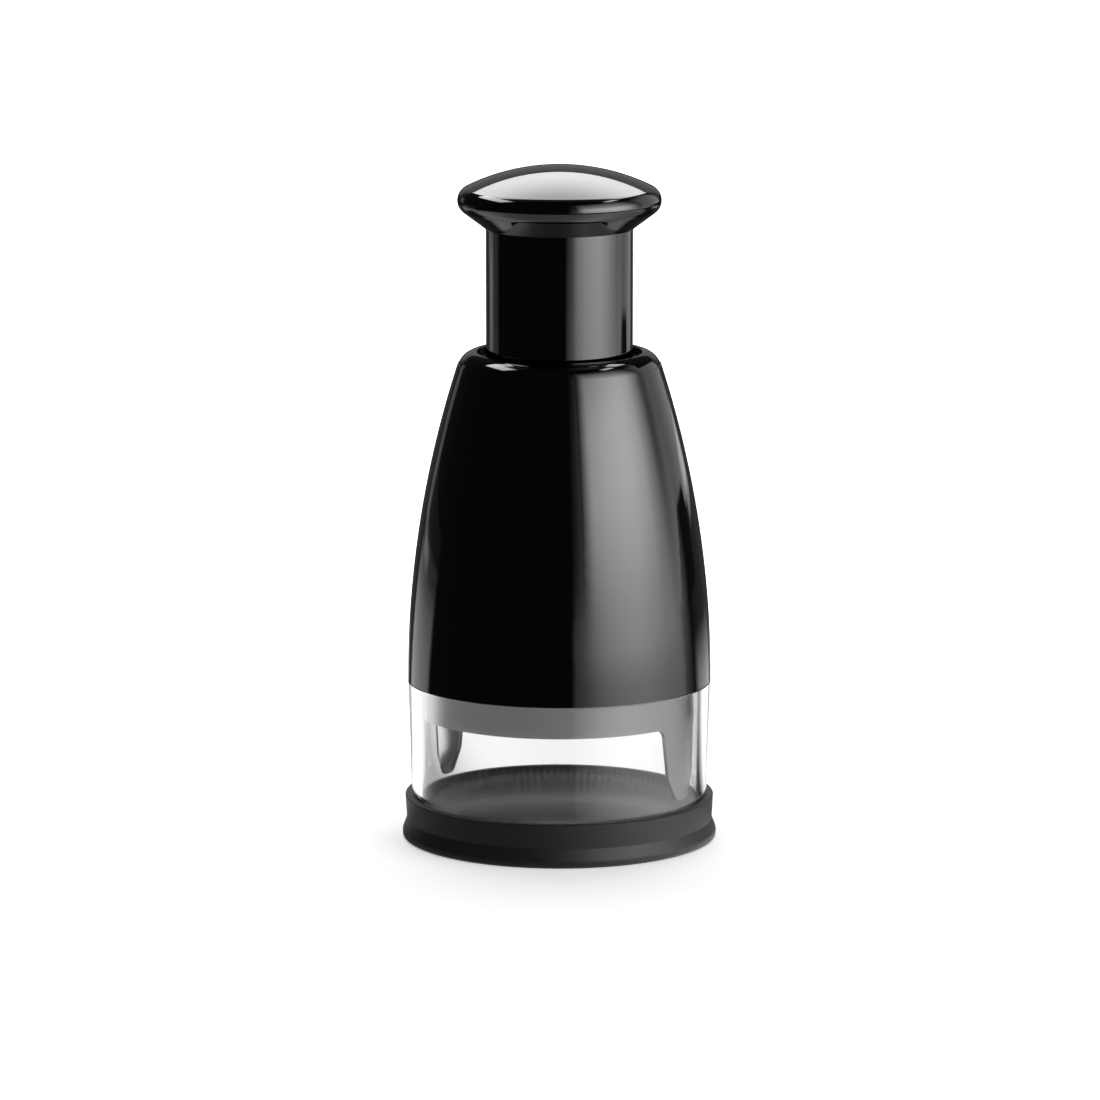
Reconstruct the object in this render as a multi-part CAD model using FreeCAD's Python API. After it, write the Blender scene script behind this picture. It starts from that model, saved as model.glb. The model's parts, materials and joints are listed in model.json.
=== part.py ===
import FreeCAD, Part
import math
import os

# Millimetres. +Z is up, the origin is the middle of the base's underside, and +X is the viewer's right.
# Names ending in _radius are measured from the axis, and names ending in _gap are clearances.

# Motion
stroke = 39.0                 # how far the knob goes down
turn_per_press = 36.0         # degrees that the blade turns on the way down

# Gaps
running_gap = 0.10            # shaft in its bearing, and tube in its bush
loose_gap = 0.30              # round faces that pass each other
seat_gap = 0.20               # a part that lies loose on its seat
slot_gap = 0.45               # blade in the slot of the stripper plate
bar_gap = 0.15                # twisted bar in its nut
floor_gap = 0.40              # blade edge above the cup's floor at full press

# Small rounding of moulded and turned edges
edge_round = 0.5

# Rubber base
lip_width = 2.3               # rubber outside the cup, at the lip
lip_round = 0.5
waist_inset = 0.25            # waist inside the lip
waist_height = 9.8
waist_round = 3.0
crease_inset = 0.48           # crease inside the lip
crease_height = 6.2
crease_round = 1.2
foot_flare = 0.94             # widest place of the foot, past the lip
foot_height = 2.4
foot_round = 2.2
sole_inset = 0.1              # sole inside the foot
sole_round = 1.0
base_height = 14.4
base_floor = 2.2
sole_width = 4.4              # width of the ring that touches the table
sole_recess = 0.9

# Clear cup
cup_floor = 2.4
shoulder_radius = 50.2        # outer wall at the shoulder
shoulder_height = 53.1
cup_taper = 1.8               # how much narrower the outer wall is, carried down to the underside
shoulder_width = 2.4
neck_rise = 12.9              # collar of the cup, above its shoulder
neck_wall = 1.6
cup_draft = 0.9               # how much narrower the inside is at the floor
cup_outer_corner = 10.0
cup_inner_corner = 8.5

# Housing
crown_step = 0.3              # bell past the neck ring, at the crease
bell_bulge = 4.16             # how far the bell's side bows out from a straight line
housing_wall = 2.25
crown_wall = 2.4
socket_spare = 1.0            # straight socket above the cup's collar
boss_radius = 3.4
boss_inset = 4.9              # boss's middle inside the edge of the column's flange
pilot_radius = 1.3
seat_ring_width = 2.2
seat_ring_rise = 1.7
hook_count = 3
hook_start = 90.0             # degrees from +X
hook_width = 24.0             # degrees
hook_rise = 1.2
hook_depth = 1.0
neck_tube_wall = 2.2

# Neck ring
ring_round = 6.0
ring_rise = 4.1
ring_lip = 0.4
ring_spigot = 2.0
ring_spigot_wall = 1.1
opening_gap = 2.95            # open gap round the tube

# Plunger tube
tube_radius = 24.15
tube_wall = 2.0
tube_web = 3.0
tube_flange_width = 2.55
tube_flange_rise = 2.0
knob_foot_gap = 1.55          # knob above the neck ring at full press
web_hole_radius = 8.0

# Guide bush, stop washer and bumper
bush_height = 12.4
bush_flange_rise = 1.0
stop_washer_rise = 2.0
bumper_rise = 2.2
bumper_gap = 0.3              # tube above the bumper at full press

# Knob
knob_radius = 33.5
knob_rim = 4.65
dome_radius = 69.8
knob_rise = 20.8
knob_seam_drop = 0.3          # seam below the widest place
knob_wall = 2.3
knob_plate = 3.0
knob_tongue_rise = 1.4
knob_boss_radius = 3.2
knob_boss_rise = 4.5
knob_skirt = 0.25             # how far the knob stands out past the tube

# Guide column and its flange
column_flange_rise = 3.0
column_flange_gap = 1.76      # flange to the bell's wall
column_inset = 8.15           # column's wall inside the tube's bore
column_wall = 2.0
column_spare = 13.5           # column's height past the stroke
column_root = 1.0
column_gap = 0.9              # flange above the blade hub
nut_lip_rise = 1.0
nut_lip_width = 2.4
nut_rise = 5.0
nut_key_width = 4.0
nut_key_depth = 1.1
retainer_rise = 1.2
retainer_width = 2.4
retainer_opening = 50.0       # degrees

# Spring
spring_offset = 3.5           # wire's middle outside the column
spring_wire = 0.8             # radius of the wire
spring_turns = 9
spring_washer_rise = 1.0
spring_washer_rim = 2.2       # washer outside the spring

# Guard and its carrier
guard_inset = 1.6             # guard inside the cup's mouth
guard_wall = 0.9
guard_cover = 2.05            # guard's edge below the blade's edge at rest
tongue_length = 25.0
tongue_width = 20.0           # at the guard's edge
tongue_tip_width = 15.0       # where the round end begins
tongue_tip_rise = 7.5
tongue_end_width = 6.3
tongue_side_round = 4.0
tongue_end_round = 3.2
tongue_root = 3.0
tongue_angle = -29.5          # degrees from +X; the second tongue is opposite
tongue_border = 1.5
tongue_pocket = 0.3
carrier_wall = 1.8
carrier_lip_width = 2.3
carrier_lip_rise = 1.1
carrier_flange_rise = 2.5
carrier_flange_cover = 1.0    # flange past the cup's mouth
rivet_count = 4
rivet_start = 15.0            # degrees from +X
rivet_radius = 1.2
rivet_head_radius = 2.1
rivet_head_rise = 0.5
rivet_drop = 9.0

# Stripper plate
wiper_rise = 3.0
wiper_rim_rise = 1.7
wiper_edge_gap = 0.2          # stripper's face above the blade's edge at rest
wiper_retainer_rise = 1.5
wiper_retainer_width = 3.0

# Blade, blade plate and hub
blade_inset = 3.3             # blade inside the stripper's edge
blade_spare = 5.8             # blade's height past the stroke
blade_thickness = 0.8
blade_bend = 2.4              # radius of each bend, to the middle of the strip
blade_end_inset = 3.0         # end of the zigzag inside the circle it reaches, along X
blade_bends = 5
edge_height = 2.4
edge_thickness = 0.1
tab_width = 6.0
tab_rise = 0.8
tab_place = 0.2               # share of each side of the zigzag, from its outer end
plate_cover = 0.6             # plate past the blade
plate_rise = 1.2
hub_radius = 14.0
hub_boss_radius = 8.0
hub_rise = 3.6
hub_rib_count = 4
hub_rib_inset = 10.1          # end of a rib inside the plate's edge
hub_rib_width = 2.0
hub_rib_rise = 1.4

# Shaft, bearing cap and small parts
spigot_radius = 3.9
spigot_flat = 3.1             # from the axis to each of the spigot's two flats
bar_side = 9.0
bar_spare = 2.5
bar_step = 5.0                # height of one piece of the twist
journal_radius = 4.4
collar_radius = 6.2
collar_rise = 1.6
shaft_end_rise = 2.3          # shaft above its washer
groove_depth = 0.8
cap_disc_rise = 4.0
cap_boss_radius = 9.0
cap_boss_rise = 6.9
shaft_bush_wall = 0.95
shaft_washer_radius = 7.2
shaft_washer_rise = 0.8
clip_radius = 6.4
clip_rise = 0.7
clip_opening = 60.0           # degrees
screw_shank_radius = 1.45
screw_head_radius = 2.6
screw_head_rise = 1.6
screw_reach = 8.0
screw_slot_width = 0.8
screw_slot_depth = 0.7
screw_count = 3
screw_start = 30.0            # degrees from +X, for the column's screws
screw_end_gap = 0.5           # open bore past the end of a screw
knob_screw_circle = 12.9
hub_screw_head_radius = 4.6
hub_screw_head_rise = 2.2
hub_screw_shank_radius = 1.95
hub_screw_reach = 9.0

# Places worked out from the sizes above
cup_floor_top = base_floor + cup_floor
cup_foot_radius = shoulder_radius - cup_taper
cup_neck_radius = shoulder_radius - shoulder_width
mouth_radius = cup_neck_radius - neck_wall
mouth_height = shoulder_height + neck_rise
socket_radius = cup_neck_radius + loose_gap
socket_top = mouth_height + socket_spare
edge_rest = cup_floor_top + floor_gap + stroke
guard_radius = mouth_radius - guard_inset
guard_low = edge_rest - guard_cover
guard_top = socket_top + hook_rise + loose_gap
tongue_low = guard_low - tongue_length
wiper_low = edge_rest + wiper_edge_gap
wiper_rim_low = wiper_low + wiper_rise - wiper_rim_rise
carrier_low = wiper_rim_low - seat_gap - carrier_lip_rise
carrier_flange_radius = mouth_radius + carrier_flange_cover
carrier_top = guard_top + carrier_flange_rise
blade_top = edge_rest + stroke + blade_spare
plate_top = blade_top + plate_rise
hub_top = plate_top + hub_rise
column_low = hub_top + column_gap
column_seat = column_low + column_flange_rise
column_top = column_seat + stroke + column_spare
bumper_top = column_seat + bumper_rise
tube_low = bumper_top + bumper_gap + stroke
stop_washer_low = tube_low + tube_flange_rise
bush_low = stop_washer_low + stop_washer_rise
neck_tube_low = bush_low + bush_flange_rise
bush_top = neck_tube_low + bush_height
crown_height = bush_top + ring_spigot
ring_top = crown_height + ring_rise
tube_top = ring_top + stroke + knob_foot_gap
knob_top = tube_top + knob_rise
opening_radius = tube_radius + opening_gap
ring_crest = opening_radius + ring_lip
ring_radius = ring_crest + math.sqrt(ring_round ** 2 - (ring_round - ring_rise) ** 2)
crown_radius = ring_radius + crown_step
bush_radius = opening_radius + ring_spigot_wall
bush_bore = tube_radius + running_gap
bush_flange_radius = bush_radius + neck_tube_wall
tube_bore = tube_radius - tube_wall
column_radius = tube_bore - column_inset
spring_radius = column_radius + spring_offset
tube_web_low = tube_top - tube_web
cap_low = tube_web_low - cap_disc_rise
bar_low = hub_top
nut_low = column_low + nut_lip_rise
nut_top = nut_low + nut_rise
bar_top = nut_top + stroke + bar_spare
washer_low = tube_web_low
clip_low = washer_low + shaft_washer_rise
shaft_top = clip_low + shaft_end_rise - shaft_washer_rise
journal_bore = journal_radius + running_gap
shaft_bush_radius = journal_bore + shaft_bush_wall
carrier_radius = guard_radius - guard_wall
carrier_bore = carrier_radius - carrier_wall
wiper_rim_radius = carrier_bore - loose_gap
wiper_radius = carrier_bore - carrier_lip_width - loose_gap
blade_reach = wiper_radius - blade_inset
plate_radius = blade_reach + plate_cover
hub_rib_reach = plate_radius - hub_rib_inset


def vec(x, y, z):
    return FreeCAD.Vector(x, y, z)


def in_section(radius, height):
    return vec(radius, 0, height)


def in_plan(height):
    return lambda x, y: vec(x, y, height)


def outline(corners, place):
    """Closed wire through corners (u, v) or (u, v, rounding), each rounded by an arc."""
    edges = []
    last = None
    first = None
    count = len(corners)
    for index in range(count):
        before = corners[index - 1]
        here = corners[index]
        after = corners[(index + 1) % count]
        rounding = here[2] if len(here) > 2 else 0
        back = FreeCAD.Vector(before[0] - here[0], before[1] - here[1], 0).normalize()
        ahead = FreeCAD.Vector(after[0] - here[0], after[1] - here[1], 0).normalize()
        corner = FreeCAD.Vector(here[0], here[1], 0)
        if rounding:
            half = back.getAngle(ahead) / 2
            reach = rounding / math.tan(half)
            inward = (back + ahead).normalize()
            middle = corner + inward * (rounding / math.sin(half) - rounding)
            start = corner + back * reach
            end = corner + ahead * reach
            arc = (place(start.x, start.y), place(middle.x, middle.y), place(end.x, end.y))
        else:
            start = corner
            end = corner
            arc = None
        if last is None:
            first = start
        elif last.distanceToPoint(start) > 1e-6:
            edges.append(Part.LineSegment(place(last.x, last.y), place(start.x, start.y)).toShape())
        if arc:
            edges.append(Part.Arc(*arc).toShape())
        last = end
    if last.distanceToPoint(first) > 1e-6:
        edges.append(Part.LineSegment(place(last.x, last.y), place(first.x, first.y)).toShape())
    return Part.Wire(edges)


def line(start, end):
    return Part.LineSegment(in_section(*start), in_section(*end)).toShape()


def arc_about(centre, radius, start_angle, end_angle):
    """Arc in the section plane about (radius, height) centre, between two angles in degrees."""
    points = []
    for angle in (start_angle, (start_angle + end_angle) / 2, end_angle):
        turn = math.radians(angle)
        points.append(in_section(centre[0] + radius * math.cos(turn), centre[1] + radius * math.sin(turn)))
    return Part.Arc(*points).toShape()


def spun(wire):
    return Part.Face(wire).revolve(vec(0, 0, 0), vec(0, 0, 1), 360)


def turned(corners):
    return spun(outline(corners, in_section))


def disc(radius, low, high, x=0, y=0):
    return Part.makeCylinder(radius, high - low, vec(x, y, low))


def ring(inner, outer, low, high):
    return turned([(inner, low), (outer, low), (outer, high), (inner, high)])


def rotated(shape, degrees):
    copy = shape.copy()
    copy.rotate(vec(0, 0, 0), vec(0, 0, 1), degrees)
    return copy


def around(shape, count, start=0):
    return [rotated(shape, start + index * 360 / count) for index in range(count)]


def wedge(width, radius, low, high):
    """Prism over a sector that is centred on +X and reaches well past a radius."""
    reach = 2 * radius
    side = reach * math.tan(math.radians(width / 2))
    points = [(0, 0), (reach, -side), (reach, side)]
    return Part.Face(outline(points, in_plan(low))).extrude(vec(0, 0, high - low))


def screw(head_radius, head_rise, shank_radius, reach, slot_width):
    """Screw that points up from the origin, with its head below and a cross recess."""
    body = turned([(0, -head_rise), (head_radius, -head_rise, head_rise * 0.6), (head_radius, 0),
                   (shank_radius, 0), (shank_radius, reach), (0, reach)])
    bar = Part.makeBox(head_radius * 1.2, slot_width, screw_slot_depth,
                       vec(-head_radius * 0.6, -slot_width / 2, -head_rise))
    return body.cut(bar.fuse(rotated(bar, 90)))


# The bell's side is one arc from the shoulder to the crease.
side_low = vec(shoulder_radius, 0, shoulder_height)
side_high = vec(crown_radius, 0, crown_height)
side_chord = side_high - side_low
side_out = vec(side_chord.z, 0, -side_chord.x).normalize()
side_middle = (side_low + side_high) * 0.5 + side_out * bell_bulge
bell_arc_radius = side_chord.Length ** 2 / (8 * bell_bulge) + bell_bulge / 2
bell_centre = side_middle - side_out * bell_arc_radius


def bell_radius(height, inset=0):
    radius = bell_arc_radius - inset
    return bell_centre.x + math.sqrt(radius ** 2 - (height - bell_centre.z) ** 2)


def bell_arc(low, high, inset=0):
    heights = (low, (low + high) / 2, high)
    return Part.Arc(*[in_section(bell_radius(height, inset), height) for height in heights]).toShape()


column_flange_radius = bell_radius(column_seat, housing_wall) - column_flange_gap
boss_circle = column_flange_radius - boss_inset


def cup_wall_radius(height):
    share = (height - base_floor) / (shoulder_height - base_floor)
    return cup_foot_radius + share * cup_taper


lip_radius = cup_wall_radius(base_height) + lip_width
waist_radius = lip_radius - waist_inset
crease_radius = lip_radius - crease_inset
foot_radius = lip_radius + foot_flare
sole_radius = foot_radius - sole_inset


def rubber_base():
    # The outside runs from the flat sole over the flared foot to the drawn-in waist and the lip.
    sole_inner = sole_radius - sole_round - sole_width
    return turned([
        (0, sole_recess), (sole_inner, sole_recess), (sole_inner, 0), (sole_radius, 0, sole_round),
        (foot_radius, foot_height, foot_round), (crease_radius, crease_height, crease_round),
        (waist_radius, waist_height, waist_round), (lip_radius, base_height, lip_round),
        (cup_wall_radius(base_height), base_height), (cup_foot_radius, base_floor, cup_outer_corner),
        (0, base_floor)])


def clear_cup():
    floor_radius = mouth_radius - cup_draft
    return turned([
        (0, base_floor), (cup_foot_radius, base_floor, cup_outer_corner),
        (shoulder_radius, shoulder_height, edge_round), (cup_neck_radius, shoulder_height),
        (cup_neck_radius, mouth_height, edge_round), (mouth_radius, mouth_height, edge_round),
        (floor_radius, cup_floor_top, cup_inner_corner), (0, cup_floor_top)])


def housing_shell():
    seat_low = carrier_top
    seat_high = seat_low + seat_ring_rise
    pocket_radius = carrier_flange_radius + seat_gap
    seat_radius = pocket_radius - seat_ring_width
    inner_top = crown_height - crown_wall
    neck_outer = bush_radius + neck_tube_wall
    inner = [
        (bush_radius, crown_height), (bush_radius, neck_tube_low), (neck_outer, neck_tube_low),
        (neck_outer, inner_top), (bell_radius(inner_top, housing_wall), inner_top)]
    lower = [
        (bell_radius(seat_high, housing_wall), seat_high), (seat_radius, seat_high), (seat_radius, seat_low),
        (pocket_radius, seat_low), (pocket_radius, socket_top), (socket_radius, socket_top),
        (socket_radius, shoulder_height), (shoulder_radius, shoulder_height)]
    edges = [bell_arc(shoulder_height, crown_height), line((crown_radius, crown_height), inner[0])]
    edges += [line(start, end) for start, end in zip(inner, inner[1:])]
    edges.append(bell_arc(seat_high, inner_top, housing_wall))
    edges += [line(start, end) for start, end in zip(lower, lower[1:])]
    shell = spun(Part.Wire(Part.__sortEdges__(edges)))
    # Three bosses hang from the wall and carry the column's flange.
    filled = spun(Part.Wire(Part.__sortEdges__([
        bell_arc(shoulder_height, crown_height, housing_wall / 2),
        line((bell_radius(crown_height, housing_wall / 2), crown_height), (0, crown_height)),
        line((0, crown_height), (0, shoulder_height)),
        line((0, shoulder_height), (bell_radius(shoulder_height, housing_wall / 2), shoulder_height))])))
    boss = disc(boss_radius, column_seat, inner_top, boss_circle).common(filled)
    pilot = disc(pilot_radius, column_seat, column_seat + screw_reach, boss_circle)
    hook_top = socket_top + hook_rise
    hook = ring(pocket_radius - hook_depth, bell_radius(hook_top, housing_wall / 2), socket_top, hook_top)
    hook = hook.common(wedge(hook_width, pocket_radius, socket_top, hook_top))
    shell = shell.fuse(around(boss, screw_count, screw_start) + around(hook, hook_count, hook_start))
    for hole in around(pilot, screw_count, screw_start):
        shell = shell.cut(hole)
    return shell.removeSplitter()


def neck_ring():
    # The top swells from its crest to the crease in one arc, and a small round leads into the opening.
    slope = math.degrees(math.asin(1 - ring_rise / ring_round))
    corners = [
        (opening_radius, ring_top - ring_lip), (opening_radius, bush_top), (bush_radius, bush_top),
        (bush_radius, crown_height), (ring_radius, crown_height)]
    edges = [line(start, end) for start, end in zip(corners, corners[1:])]
    edges.append(arc_about((ring_crest, ring_top - ring_round), ring_round, slope, 90))
    edges.append(arc_about((ring_crest, ring_top - ring_lip), ring_lip, 90, 180))
    return spun(Part.Wire(Part.__sortEdges__(edges)))


def guide_bush():
    return turned([
        (bush_bore, bush_low), (bush_flange_radius, bush_low), (bush_flange_radius, neck_tube_low),
        (bush_radius, neck_tube_low), (bush_radius, bush_top), (bush_bore, bush_top, edge_round)])


def plunger_tube():
    tube = turned([
        (tube_bore, tube_low), (tube_radius + tube_flange_width, tube_low, edge_round),
        (tube_radius + tube_flange_width, stop_washer_low), (tube_radius, stop_washer_low),
        (tube_radius, tube_top), (web_hole_radius, tube_top), (web_hole_radius, tube_web_low),
        (tube_bore, tube_web_low)])
    hole = disc(screw_shank_radius + seat_gap, tube_web_low, tube_top, knob_screw_circle)
    for place in around(hole, screw_count):
        tube = tube.cut(place)
    return tube


def stop_washer():
    return ring(tube_radius, tube_radius + tube_flange_width, stop_washer_low, bush_low)


# The knob's side is the dome's sphere, the rim's arc and a cone that touches the rim.
rim_radius = knob_radius - knob_rim
dome_centre = knob_top - dome_radius
rim_height = dome_centre + math.sqrt((dome_radius - knob_rim) ** 2 - rim_radius ** 2)
seam_height = rim_height - knob_seam_drop
knob_foot = (tube_radius + knob_skirt, tube_top + knob_skirt)


def rim_angle_at(height):
    return math.degrees(math.asin((height - rim_height) / knob_rim))


def cone_touch():
    """Angle on the rim's arc where the lower cone leaves it."""
    across = rim_radius - knob_foot[0]
    up = rim_height - knob_foot[1]
    reach = math.hypot(across, up)
    slope = math.atan2(up, across) - math.asin(knob_rim / reach)
    return math.degrees(slope) - 90


def knob_cap():
    dome_angle = math.degrees(math.atan2(rim_height - dome_centre, rim_radius))
    inner_edge = knob_radius - knob_wall
    inner_dome = dome_radius - knob_wall
    inner_height = dome_centre + math.sqrt(inner_dome ** 2 - inner_edge ** 2)
    inner_angle = math.degrees(math.asin((inner_height - dome_centre) / inner_dome))
    seam_radius = rim_radius + knob_rim * math.cos(math.radians(rim_angle_at(seam_height)))
    edges = [
        arc_about((0, dome_centre), dome_radius, 90, dome_angle),
        arc_about((rim_radius, rim_height), knob_rim, dome_angle, rim_angle_at(seam_height)),
        line((seam_radius, seam_height), (inner_edge, seam_height)),
        line((inner_edge, seam_height), (inner_edge, inner_height)),
        arc_about((0, dome_centre), inner_dome, inner_angle, 90),
        line((0, dome_centre + inner_dome), (0, knob_top))]
    return spun(Part.Wire(edges))


def knob_base():
    seam_angle = rim_angle_at(seam_height)
    touch = cone_touch()
    seam_radius = rim_radius + knob_rim * math.cos(math.radians(seam_angle))
    touch_point = (rim_radius + knob_rim * math.cos(math.radians(touch)),
                   rim_height + knob_rim * math.sin(math.radians(touch)))
    tongue_outer = knob_radius - knob_wall
    tongue_inner = tongue_outer - knob_wall / 2
    tongue_top = seam_height + knob_tongue_rise
    plate_height = tube_top + knob_plate
    corners = [
        (seam_radius, seam_height), (tongue_outer, seam_height), (tongue_outer, tongue_top),
        (tongue_inner, tongue_top), (tongue_inner, seam_height),
        (knob_foot[0] + knob_wall / 2, plate_height), (0, plate_height), (0, tube_top),
        (knob_foot[0], tube_top), knob_foot, touch_point]
    edges = [line(start, end) for start, end in zip(corners, corners[1:])]
    edges.append(arc_about((rim_radius, rim_height), knob_rim, touch, seam_angle))
    body = spun(Part.Wire(edges))
    boss = disc(knob_boss_radius, plate_height, plate_height + knob_boss_rise, knob_screw_circle)
    pilot = disc(screw_shank_radius, tube_top, tube_top + screw_reach - tube_web + screw_end_gap,
                 knob_screw_circle)
    body = body.fuse(around(boss, screw_count))
    for hole in around(pilot, screw_count):
        body = body.cut(hole)
    return body.removeSplitter()


def bearing_cap():
    boss_low = cap_low - cap_boss_rise
    rim_radius = tube_bore - running_gap
    body = turned([
        (shaft_bush_radius, boss_low), (cap_boss_radius, boss_low, edge_round), (cap_boss_radius, cap_low),
        (rim_radius, cap_low), (rim_radius, tube_web_low), (shaft_bush_radius, tube_web_low)])
    hole = disc(screw_shank_radius + seat_gap, cap_low, tube_web_low, knob_screw_circle)
    for place in around(hole, screw_count):
        body = body.cut(place)
    return body


def shaft_bush():
    return ring(journal_bore, shaft_bush_radius, cap_low - cap_boss_rise, tube_web_low)


def knob_screws():
    reach = cap_disc_rise + screw_reach
    one = screw(screw_head_radius, screw_head_rise, screw_shank_radius, reach, screw_slot_width)
    one.translate(vec(knob_screw_circle, 0, cap_low))
    return Part.makeCompound(around(one, screw_count))


def column_screws():
    one = screw(screw_head_radius, screw_head_rise, pilot_radius, screw_reach, screw_slot_width)
    one.translate(vec(boss_circle, 0, column_low))
    return Part.makeCompound(around(one, screw_count, screw_start))


def guide_column():
    bore = column_radius - column_wall
    body = turned([
        (bore - nut_lip_width, column_low), (column_flange_radius, column_low, edge_round),
        (column_flange_radius, column_seat), (column_radius, column_seat, column_root),
        (column_radius, column_top, edge_round), (bore, column_top),
        (bore, nut_low), (bore - nut_lip_width, nut_low)])
    hole = disc(screw_shank_radius + seat_gap, column_low, column_seat, boss_circle)
    # Two grooves in the bore hold the nut's keys.
    groove = Part.makeBox(bore + nut_key_depth, nut_key_width, nut_rise + retainer_rise,
                          vec(0, -nut_key_width / 2, nut_low))
    for cut in around(hole, screw_count, screw_start) + around(groove, 2):
        body = body.cut(cut)
    return body


def bumper_ring():
    return ring(tube_bore, tube_radius + tube_flange_width, column_seat, bumper_top)


def spring_washer():
    inner = column_radius + column_root + loose_gap
    outer = spring_radius + spring_wire + spring_washer_rim
    return ring(inner, outer, column_seat, column_seat + spring_washer_rise)


def twisted_bar(side, low, high):
    """Square bar that turns evenly with height, as the shaft turns over one stroke."""
    steps = max(2, math.ceil((high - low) / bar_step))
    half = side / 2
    sections = []
    for index in range(steps + 1):
        height = low + (high - low) * index / steps
        square = outline([(-half, -half), (half, -half), (half, half), (-half, half)], in_plan(height))
        sections.append(rotated(square, turn_per_press * (height - nut_low) / stroke))
    return Part.makeLoft(sections, True, True)


def twist_nut():
    outer = column_radius - column_wall - running_gap
    key = Part.makeBox(outer + nut_key_depth, nut_key_width - 2 * running_gap, nut_rise,
                       vec(0, running_gap - nut_key_width / 2, nut_low))
    body = disc(outer, nut_low, nut_top).fuse(around(key, 2))
    return body.cut(twisted_bar(bar_side + 2 * bar_gap, nut_low, nut_top))


def nut_retainer():
    outer = column_radius - column_wall
    body = ring(outer - retainer_width, outer, nut_top, nut_top + retainer_rise)
    return body.cut(wedge(retainer_opening, outer, nut_top, nut_top + retainer_rise))


def spigot(low, high):
    """Round end of the shaft with two flats, which the hub and the blade plate fit."""
    corner = vec(-spigot_flat, -spigot_radius, low)
    flats = Part.makeBox(2 * spigot_flat, 2 * spigot_radius, high - low, corner)
    return disc(spigot_radius, low, high).common(flats)


def drive_shaft():
    groove_radius = journal_radius - groove_depth
    groove_top = clip_low + clip_rise
    collar_top = cap_low - cap_boss_rise - running_gap
    collar_low = collar_top - collar_rise
    bar = twisted_bar(bar_side, bar_low, bar_top)
    journal = turned([
        (0, bar_top), (journal_radius, bar_top), (journal_radius, collar_low), (collar_radius, collar_low),
        (collar_radius, collar_top), (journal_radius, collar_top), (journal_radius, clip_low),
        (groove_radius, clip_low), (groove_radius, groove_top), (journal_radius, groove_top),
        (journal_radius, shaft_top, edge_round), (0, shaft_top)])
    shaft = spigot(blade_top, bar_low).fuse([bar, journal])
    return shaft.cut(disc(hub_screw_shank_radius, blade_top, blade_top + hub_screw_reach + screw_end_gap))


def shaft_washer():
    return ring(journal_radius + running_gap, shaft_washer_radius, washer_low, clip_low)


def shaft_clip():
    body = ring(journal_radius - groove_depth, clip_radius, clip_low, clip_low + clip_rise)
    return body.cut(wedge(clip_opening, clip_radius, clip_low, clip_low + clip_rise))


def blade_hub():
    body = turned([
        (0, plate_top), (hub_radius, plate_top), (hub_radius, plate_top + hub_rib_rise, edge_round),
        (hub_boss_radius, hub_top, edge_round), (0, hub_top)])
    # Ribs reach out from the boss over the plate.
    rib = Part.makeBox(hub_rib_reach, hub_rib_width, hub_rib_rise, vec(0, -hub_rib_width / 2, plate_top))
    body = body.fuse(around(rib, hub_rib_count)).removeSplitter()
    return body.cut(spigot(plate_top, hub_top))


def hub_screw():
    one = screw(hub_screw_head_radius, hub_screw_head_rise, hub_screw_shank_radius, hub_screw_reach, 1.2)
    one.translate(vec(0, 0, blade_top))
    return one


# The zigzag is straight sides that touch round bends. The bends' middles and the two ends lie on circles.
bend_circle = blade_reach - blade_bend
end_x = blade_reach - blade_end_inset
blade_pitch = 2 * end_x / (blade_bends + 1)
bend_middles = []
for bend in range(blade_bends):
    bend_x = (bend - (blade_bends - 1) / 2) * blade_pitch
    bend_side = -1 if bend % 2 == 0 else 1
    bend_middles.append(vec(bend_x, bend_side * math.sqrt(bend_circle ** 2 - bend_x ** 2), 0))
zigzag_start = vec(-end_x, math.sqrt(blade_reach ** 2 - end_x ** 2), 0)
zigzag_end = vec(end_x, zigzag_start.y, 0)
bend_turns = [1 if bend % 2 == 0 else -1 for bend in range(blade_bends)]


def zigzag_sides():
    """Start, end and left-hand normal of each straight side, along the middle of the strip."""
    stops = [zigzag_start] + bend_middles + [zigzag_end]
    turns = [0] + bend_turns + [0]
    sides = []
    for index in range(len(stops) - 1):
        apart = stops[index + 1] - stops[index]
        offset = (turns[index + 1] - turns[index]) * blade_bend
        heading = math.atan2(apart.y, apart.x) - math.asin(offset / apart.Length)
        left = vec(-math.sin(heading), math.cos(heading), 0)
        start = stops[index] - left * (turns[index] * blade_bend)
        end = stops[index + 1] - left * (turns[index + 1] * blade_bend)
        sides.append((start, end, left))
    return sides


def zigzag_outline(thickness, height, overrun=0):
    """Closed outline of the zigzag strip in plan."""
    sides = zigzag_sides()
    lift = vec(0, 0, height)
    first_heading = (sides[0][1] - sides[0][0]).normalize()
    last_heading = (sides[-1][1] - sides[-1][0]).normalize()
    runs = []
    for offset in (thickness / 2, -thickness / 2):
        run = []
        for index, (start, end, left) in enumerate(sides):
            begin = start + left * offset + lift
            finish = end + left * offset + lift
            if index == 0:
                begin = begin - first_heading * overrun
            if index == len(sides) - 1:
                finish = finish + last_heading * overrun
            run.append(Part.LineSegment(begin, finish).toShape())
            if index < len(bend_middles):
                middle = bend_middles[index]
                next_left = sides[index + 1][2]
                radius = blade_bend - bend_turns[index] * offset
                outward = (left + next_left).normalize() * (-bend_turns[index] * radius)
                after = sides[index + 1][0] + next_left * offset + lift
                run.append(Part.Arc(finish, middle + outward + lift, after).toShape())
        runs.append((run, run[0].Vertexes[0].Point, run[-1].Vertexes[-1].Point))
    caps = [Part.LineSegment(runs[0][end], runs[1][end]).toShape() for end in (1, 2)]
    return Part.Wire(Part.__sortEdges__(runs[0][0] + runs[1][0] + caps))


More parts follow.
